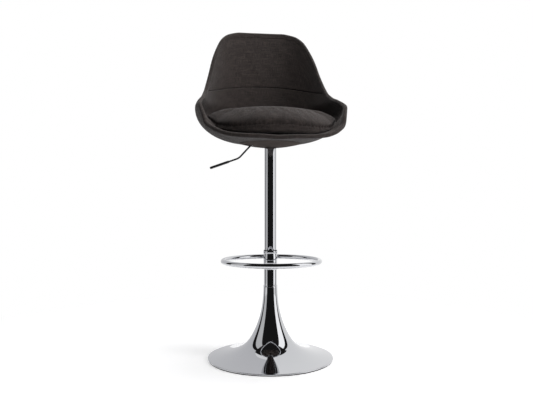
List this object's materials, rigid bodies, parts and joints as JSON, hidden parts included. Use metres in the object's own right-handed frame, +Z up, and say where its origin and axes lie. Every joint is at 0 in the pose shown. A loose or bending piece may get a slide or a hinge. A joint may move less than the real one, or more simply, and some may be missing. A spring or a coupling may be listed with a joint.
{
  "type": "bar stool",
  "caption": "Height-adjustable swivel bar stool: padded bucket seat with back, telescoping chrome column, ring footrest and round trumpet base.",
  "frame": {"origin": "on the floor, where the column's axis meets it, under the centre of the base", "axes": "+Z up along the column, -Y towards the front lip of the seat, +X to the right of someone facing the seat, and the release lever towards -X"},
  "size_m": [0.4772, 0.5474, 1.1177],
  "materials": {
    "chrome": "polished chrome plate on steel",
    "black_steel": "black powder coat on steel",
    "bright_steel": "zinc plated and ground steel",
    "cast_iron": "bare grey iron, sand cast",
    "rubber": "matt black rubber",
    "nylon": "moulded black nylon, fine grain",
    "plywood": "raw birch plywood",
    "upholstery": "dark grey heather weave over foam"
  },
  "bodies": {
    "base": {"trumpet_base": "chrome", "base_plate": "black_steel", "ballast_disc": "cast_iron", "floor_ring": "rubber", "rod_end_cap": "nylon", "guide_tube": "chrome", "foot_ring": "chrome", "guide_bush": "nylon", "thrust_race_lower": "bright_steel", "thrust_bearing": "bright_steel"},
    "swivel_rod": {"thrust_race_upper": "bright_steel", "rod_buffer": "rubber", "piston_rod": "bright_steel", "rod_clip": "bright_steel", "piston": "nylon", "piston_nut": "bright_steel"},
    "seat_carriage": {"rod_guide": "nylon", "pressure_tube": "black_steel", "mast_foot_ring": "nylon", "mast_tube": "chrome", "mechanism_body": "black_steel", "lever_pivot_pin": "bright_steel", "underside_dish": "nylon", "seat_board": "plywood", "mount_bolt_1": "bright_steel", "mount_bolt_2": "bright_steel", "mount_bolt_3": "bright_steel", "mount_bolt_4": "bright_steel", "tee_nut_1": "bright_steel", "tee_nut_2": "bright_steel", "tee_nut_3": "bright_steel", "tee_nut_4": "bright_steel", "bucket_shell": "nylon", "outer_cover": "upholstery", "inner_pad_lower": "upholstery", "back_pad_upper": "upholstery", "seat_cushion": "upholstery"},
    "lever": {"release_lever": "black_steel", "lever_grip": "nylon"},
    "button": {"release_button": "bright_steel"}
  },
  "joints": [
    {"name": "seat_swivel", "type": "hinge", "parent": "base", "child": "swivel_rod", "pos_m": [0, 0, 0.02], "axis": [0, 0, 1], "continuous": true},
    {"name": "height_lift", "type": "slide", "parent": "swivel_rod", "child": "seat_carriage", "axis": [0, 0, 1], "range_m": [-0.21, 0]},
    {"name": "release_lever_tilt", "type": "hinge", "parent": "seat_carriage", "child": "lever", "pos_m": [-0.024, 0, 0.68], "axis": [0, 1, 0], "range_deg": [0, 7], "stiffness_Nm_per_rad": 1.5, "springref_deg": -17.19},
    {"name": "release_button_press", "type": "slide", "parent": "seat_carriage", "child": "button", "axis": [0, 0, -1], "range_m": [0, 0.0034]}
  ],
  "couplings": [
    {"joint": "release_button_press", "follows": "release_lever_tilt", "m_per_rad": 0.0265}
  ]
}
